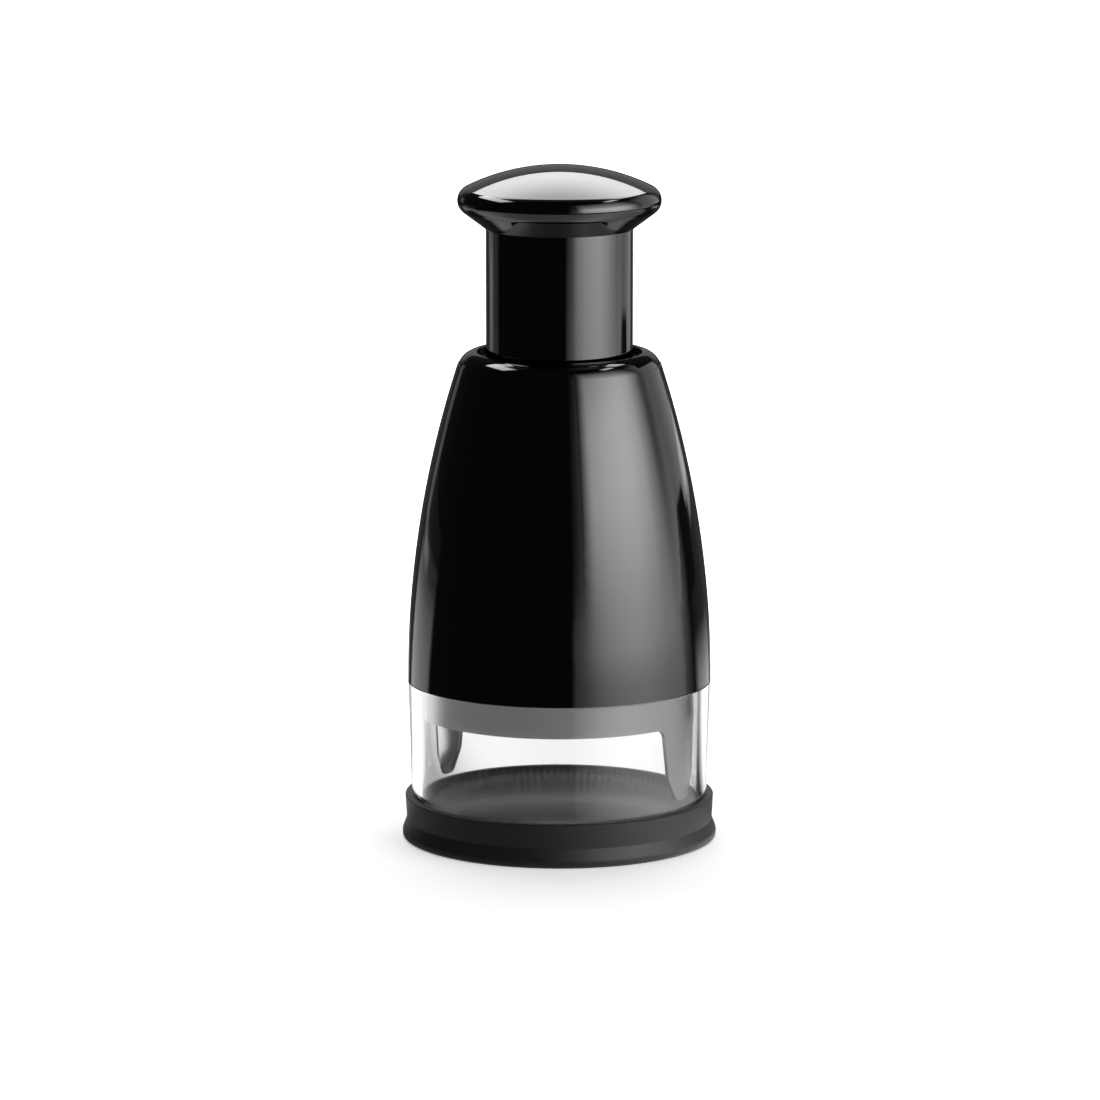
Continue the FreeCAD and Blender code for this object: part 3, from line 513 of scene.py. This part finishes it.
def makeHandling():
    # Hairline scratches, fine dust and faint smears from use, as masks from 0 to 1
    group, given, wanted = newGroup("handling", [("Scale", "Float", 1.0)],
                                    [("Scratches", "Float"), ("Dust", "Float"), ("Smears", "Float")])
    place = addNode(group, "TexCoord").outputs["Object"]
    sized = addNode(group, "VectorMath", {0: place, "Scale": given["Scale"]}, operation="SCALE").outputs[0]
    scratches = None
    for turn, packing in scratchLook["layers"]:
        across = scratchLook["across"] * packing
        lay = {"Vector": sized, "Rotation": tuple(turn * share for share in scratchLook["turnShares"]),
               "Scale": (across, across, scratchLook["along"])}
        streaks = noise(group, addNode(group, "Mapping", lay).outputs[0], scratchLook["scale"], 1.0)
        line = smooth(group, calc(group, "ABSOLUTE", minus(group, streaks, 0.5)), *scratchLook["line"])
        patch = noise(group, sized, scratchLook["patchScale"] + scratchLook["patchStep"] * packing)
        line = times(group, line, smooth(group, patch, *scratchLook["patch"]))
        scratches = line if scratches is None else calc(group, "MAXIMUM", scratches, line)
    cells = addNode(group, "TexVoronoi", {"Vector": sized, "Scale": dustLook["scale"], "Randomness": 1.0})
    speck = smooth(group, cells.outputs["Distance"], *dustLook["speck"])
    chosen = addNode(group, "SeparateColor", {0: cells.outputs["Color"]}).outputs[0]
    dust = times(group, speck, calc(group, "GREATER_THAN", chosen, dustLook["bareShare"]))
    smear = noise(group, sized, smearLook["scale"], smearLook["detail"], smearLook["distortion"])
    connect(group, scratches, wanted["Scratches"])
    connect(group, dust, wanted["Dust"])
    connect(group, smooth(group, smear, *smearLook["patch"]), wanted["Smears"])
    return group


def makeRipple():
    # Slight unevenness of a moulded surface, as a normal
    group, given, wanted = newGroup("ripple", [("Scale", "Float", 25.0), ("Depth", "Float", 0.0001)],
                                    [("Normal", "Vector")])
    waves = noise(group, addNode(group, "TexCoord").outputs["Object"], given["Scale"])
    bump = addNode(group, "Bump", {"Height": waves, "Distance": given["Depth"], "Strength": 1.0})
    connect(group, bump.outputs[0], wanted["Normal"])
    return group


brushLook = {"detail": 4.0, "depth": 0.00002, "strength": 0.5}


def makeBrushing():
    # Fine lines of brushed metal that run round the axis
    group, given, wanted = newGroup("brushing", [("Around", "Float", 3.0), ("Across", "Float", 2200.0)],
                                    [("Grain", "Float"), ("Normal", "Vector")])
    place = ownPlace(group)
    x, y = place["X"], place["Y"]
    along = times(group, calc(group, "ARCTAN2", x, y), given["Around"])
    across = times(group, plus(group, place["Z"], reachOf(group, x, y)), given["Across"])
    lines = addNode(group, "CombineXYZ", {0: along, 1: across}).outputs[0]
    fine = noise(group, lines, 1.0, brushLook["detail"])
    bump = addNode(group, "Bump", {"Height": fine, "Distance": brushLook["depth"],
                                   "Strength": brushLook["strength"]})
    connect(group, fine, wanted["Grain"])
    connect(group, bump.outputs[0], wanted["Normal"])
    return group


handling = makeHandling()
ripple = makeRipple()
brushing = makeBrushing()


# Round rims: the circle of the rim's section, and the least height and reach that it covers
neckRim = {"radius": 0.0275, "height": 0.1565, "foot": 0.15845, "from": 0.0275}
knobRim = {"radius": 0.02885, "height": 0.21246, "foot": 0.2121, "from": 0.03091}


def roundedNormal(tree, normal, rim):
    # On the rim the normal is worked out from the circle instead of from the mesh.
    place = ownPlace(tree)
    x, y, height = place["X"], place["Y"], place["Z"]
    reach = reachOf(tree, x, y)
    outward = calc(tree, "DIVIDE", minus(tree, reach, rim["radius"]), reach)
    away = addNode(tree, "CombineXYZ", {0: times(tree, x, outward), 1: times(tree, y, outward),
                                        2: minus(tree, height, rim["height"])}).outputs[0]
    away = addNode(tree, "VectorMath", {0: away}, operation="NORMALIZE").outputs[0]
    onRim = times(tree, calc(tree, "GREATER_THAN", height, rim["foot"]),
                  calc(tree, "GREATER_THAN", reach, rim["from"]))
    return blendColors(tree, onRim, normal, away)


# The knob's seam, where the cap meets the cone: a dark line that gives no gloss
knobSeam = {"height": 0.21216, "inner": 0.000096, "outer": 0.000224, "gloss": 0.5}


def seamGloss(tree, seam):
    away = calc(tree, "ABSOLUTE", minus(tree, ownPlace(tree)["Z"], seam["height"]))
    return smooth(tree, away, seam["inner"], seam["outer"], 0.0, seam["gloss"])


# How much each mark adds to the roughness of plastic, and how pale its dust is
plasticWear = {"scratched": 0.10, "smeared": 0.02, "dusty": 0.35, "dustPale": 0.03, "grainRough": 0.08,
               "grainScale": 2600.0, "ior": 1.5}
plastics = {
    "glossBlack": {"color": (0.0005, 0.0005, 0.0005, 1), "roughness": 0.035, "rippleDepth": 0.000006,
                   "rippleScale": 22.0, "marks": 0.4, "grain": 0.0},
    "blackPlastic": {"color": (0.02, 0.02, 0.02, 1), "roughness": 0.42, "rippleDepth": 0.00002,
                     "rippleScale": 40.0, "marks": 1.0, "grain": 0.00003},
    "whiteAcetal": {"color": (0.72, 0.72, 0.69, 1), "roughness": 0.36, "rippleDepth": 0.00002,
                    "rippleScale": 40.0, "marks": 0.6, "grain": 0.00002}}


def plastic(name, look, rim=None, seam=None):
    material, tree = newMaterial(name)
    marking = useGroup(tree, handling)
    marks = look["marks"]
    worn = times(tree, marking["Scratches"], plasticWear["scratched"] * marks)
    worn = plus(tree, worn, times(tree, marking["Smears"], plasticWear["smeared"] * marks))
    worn = plus(tree, worn, times(tree, marking["Dust"], plasticWear["dusty"] * marks))
    normal = useGroup(tree, ripple, Depth=look["rippleDepth"], Scale=look["rippleScale"])["Normal"]
    if rim:
        normal = roundedNormal(tree, normal, rim)
    if look["grain"]:
        fine = noise(tree, addNode(tree, "TexCoord").outputs["Object"], plasticWear["grainScale"])
        grain = {"Height": fine, "Distance": look["grain"], "Normal": normal}
        normal = addNode(tree, "Bump", grain).outputs[0]
        worn = plus(tree, worn, times(tree, fine, plasticWear["grainRough"]))
    pale = plasticWear["dustPale"] * marks
    dusty = tuple(channel + pale for channel in look["color"][:3]) + (1,)
    shade = blendColors(tree, marking["Dust"], look["color"], dusty)
    rough = plus(tree, worn, look["roughness"])
    shader = addNode(tree, "BsdfPrincipled", {"Base Color": shade, "Normal": normal, "Roughness": rough})
    shader.inputs["IOR"].default_value = plasticWear["ior"]
    if seam:
        connect(tree, seamGloss(tree, seam), shader.inputs["Specular IOR Level"])
    finishSurface(tree, shader.outputs[0])
    return material


# Metals: around and across say how long and how close the brushed lines are.
metalLook = {"grainDark": 0.9, "roughSpread": 0.06, "smeared": 0.05}
metals = {
    "satinSteel": {"color": (0.60, 0.60, 0.60, 1), "roughness": 0.20, "around": 3.0, "across": 2200.0},
    "bladeSteel": {"color": (0.66, 0.66, 0.66, 1), "roughness": 0.22, "around": 8.0, "across": 1500.0},
    "springSteel": {"color": (0.62, 0.61, 0.59, 1), "roughness": 0.16, "around": 2.0, "across": 5000.0},
    "screwSteel": {"color": (0.52, 0.53, 0.54, 1), "roughness": 0.30, "around": 4.0, "across": 1200.0},
    "turnedBrass": {"color": (0.70, 0.50, 0.24, 1), "roughness": 0.24, "around": 2.0, "across": 4000.0}}


def metal(name):
    look = metals[name]
    material, tree = newMaterial(name)
    lines = useGroup(tree, brushing, Around=look["around"], Across=look["across"])
    marking = useGroup(tree, handling)
    darker = tuple(channel * metalLook["grainDark"] for channel in look["color"][:3]) + (1,)
    shade = blendColors(tree, lines["Grain"], darker, look["color"])
    spread = metalLook["roughSpread"]
    rough = span(tree, lines["Grain"], look["roughness"] - spread, look["roughness"] + spread)
    rough = plus(tree, rough, times(tree, marking["Smears"], metalLook["smeared"]))
    shader = addNode(tree, "BsdfPrincipled", {"Base Color": shade, "Normal": lines["Normal"],
                                              "Roughness": rough})
    shader.inputs["Metallic"].default_value = 1.0
    finishSurface(tree, shader.outputs[0])
    return material


# Clear plastic of the cup. Use has scuffed it up to the height bottom, and ever less from there to top.
clearLook = {"color": (0.97, 0.975, 0.975, 1), "roughness": 0.01, "scratched": 0.12, "smeared": 0.015,
             "rippleDepth": 0.00001, "rippleScale": 18.0, "ior": 1.53, "shadow": 0.9, "hazeColor": 0.85}
cupFloor = {"bottom": 0.010, "top": 0.0145, "scuffed": 0.10, "haze": 0.15}


def clear(name):
    material, tree = newMaterial(name)
    marking = useGroup(tree, handling)
    rough = plus(tree, times(tree, marking["Scratches"], clearLook["scratched"]), clearLook["roughness"])
    rough = plus(tree, rough, times(tree, marking["Smears"], clearLook["smeared"]))
    worn = smooth(tree, ownPlace(tree)["Z"], cupFloor["bottom"], cupFloor["top"], 1.0, 0.0)
    rough = plus(tree, rough, times(tree, worn, cupFloor["scuffed"]))
    depth, scale = clearLook["rippleDepth"], clearLook["rippleScale"]
    normal = useGroup(tree, ripple, Depth=depth, Scale=scale)["Normal"]
    shader = addNode(tree, "BsdfPrincipled", {"Base Color": clearLook["color"], "Roughness": rough,
                                              "Normal": normal})
    shader.inputs["IOR"].default_value = clearLook["ior"]
    shader.inputs["Metallic"].default_value = 0.0
    shader.inputs["Transmission Weight"].default_value = 1.0
    haze = addNode(tree, "BsdfDiffuse", {"Color": grey(clearLook["hazeColor"])}).outputs[0]
    hazed = addNode(tree, "MixShader", {0: times(tree, worn, cupFloor["haze"]), 1: shader.outputs[0],
                                        2: haze}).outputs[0]
    # Light for the pieces inside passes straight through the wall.
    passing = addNode(tree, "BsdfTransparent", {"Color": grey(clearLook["shadow"])}).outputs[0]
    shadow = addNode(tree, "LightPath").outputs["Is Shadow Ray"]
    finishSurface(tree, addNode(tree, "MixShader", {0: shadow, 1: hazed, 2: passing}).outputs[0])
    return material


rubberLook = {"dark": 0.003, "pale": 0.005, "dust": 0.09, "dusty": 0.6, "fineScale": 2200.0,
              "softScale": 60.0, "detail": 3.0, "bump": 0.00001, "bumpStrength": 0.6, "smoothest": 0.42,
              "roughest": 0.52, "fineRough": 0.08, "markScale": 0.8, "ior": 1.5, "gloss": 0.3}


def rubber(name):
    material, tree = newMaterial(name)
    place = addNode(tree, "TexCoord").outputs["Object"]
    fine = noise(tree, place, rubberLook["fineScale"], rubberLook["detail"])
    soft = noise(tree, place, rubberLook["softScale"], rubberLook["detail"])
    marking = useGroup(tree, handling, Scale=rubberLook["markScale"])
    normal = addNode(tree, "Bump", {"Height": fine, "Distance": rubberLook["bump"],
                                    "Strength": rubberLook["bumpStrength"]}).outputs[0]
    shade = blendColors(tree, soft, grey(rubberLook["dark"]), grey(rubberLook["pale"]))
    dusty = times(tree, marking["Dust"], rubberLook["dusty"])
    shade = blendColors(tree, dusty, shade, grey(rubberLook["dust"]))
    rough = span(tree, soft, rubberLook["smoothest"], rubberLook["roughest"])
    rough = plus(tree, rough, times(tree, fine, rubberLook["fineRough"]))
    shader = addNode(tree, "BsdfPrincipled", {"Base Color": shade, "Roughness": rough, "Normal": normal})
    shader.inputs["IOR"].default_value = rubberLook["ior"]
    shader.inputs["Specular IOR Level"].default_value = rubberLook["gloss"]
    finishSurface(tree, shader.outputs[0])
    return material


glossBlack = plastics["glossBlack"]
finishes = {
    "gloss_black": plastic("glossBlack", glossBlack),
    "clear_plastic": clear("clearPlastic"),
    "black_rubber": rubber("blackRubber"),
    "satin_steel": metal("satinSteel"),
    "blade_steel": metal("bladeSteel"),
    "spring_steel": metal("springSteel"),
    "screw_steel": metal("screwSteel"),
    "black_plastic": plastic("blackPlastic", plastics["blackPlastic"]),
    "white_acetal": plastic("whiteAcetal", plastics["whiteAcetal"]),
    "brass": metal("turnedBrass"),
}
for part in frame["record"]["subparts"]:
    nodes[part["node"]].material_slots[0].material = finishes[part["material_slot"]]
nodes["neck_ring"].material_slots[0].material = plastic("ringBlack", glossBlack, rim=neckRim)
nodes["knob_cap"].material_slots[0].material = plastic("capBlack", glossBlack, rim=knobRim, seam=knobSeam)
nodes["knob_base"].material_slots[0].material = plastic("coneBlack", glossBlack, seam=knobSeam)
print("finishes made")


# Return spring: a round wire wound at an even pitch. It stands on its washer and ends under the bearing cap's
# disc.
spring = {"node": "return_spring", "joint": "press", "turns": 9, "radius": 0.0175, "wire": 0.0008,
          "foot": 0.0985, "stroke": 0.039, "capDisc": 0.004, "around": 14, "perTurn": 48}


def makeSpring():
    radius, wire, foot = spring["radius"], spring["wire"], spring["foot"]
    low = foot + wire
    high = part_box("bearing_cap")[1].z - spring["capDisc"] - wire
    climb = (high - low) / spring["turns"] / (2 * math.pi)
    shape = bmesh.new()
    loops = []
    for step in range(spring["turns"] * spring["perTurn"] + 1):
        turn = 2 * math.pi * step / spring["perTurn"]
        outward = Vector((math.cos(turn), math.sin(turn), 0))
        along = Vector((-math.sin(turn) * radius, math.cos(turn) * radius, climb)).normalized()
        up = along.cross(outward) * -1
        middle = outward * radius + Vector((0, 0, low + climb * turn))
        loop = []
        for corner in range(spring["around"]):
            angle = 2 * math.pi * corner / spring["around"]
            side = outward * math.cos(angle) + up * math.sin(angle)
            loop.append(shape.verts.new(middle + side * wire))
        loops.append(loop)
    for last, loop in zip(loops, loops[1:]):
        for corner in range(spring["around"]):
            after = (corner + 1) % spring["around"]
            shape.faces.new((last[corner], last[after], loop[after], loop[corner])).smooth = True
    shape.faces.new(loops[0][::-1])
    shape.faces.new(loops[-1])
    bmesh.ops.recalc_face_normals(shape, faces=shape.faces)
    mesh = bpy.data.meshes.new("springCoil")
    shape.to_mesh(mesh)
    shape.free()
    mesh.materials.append(finishes["spring_steel"])
    made = bpy.data.objects.new("springCoil", mesh)
    scene.collection.objects.link(made)
    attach(made, "housing")
    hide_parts(spring["node"])
    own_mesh(made)


makeSpring()
print("spring made")
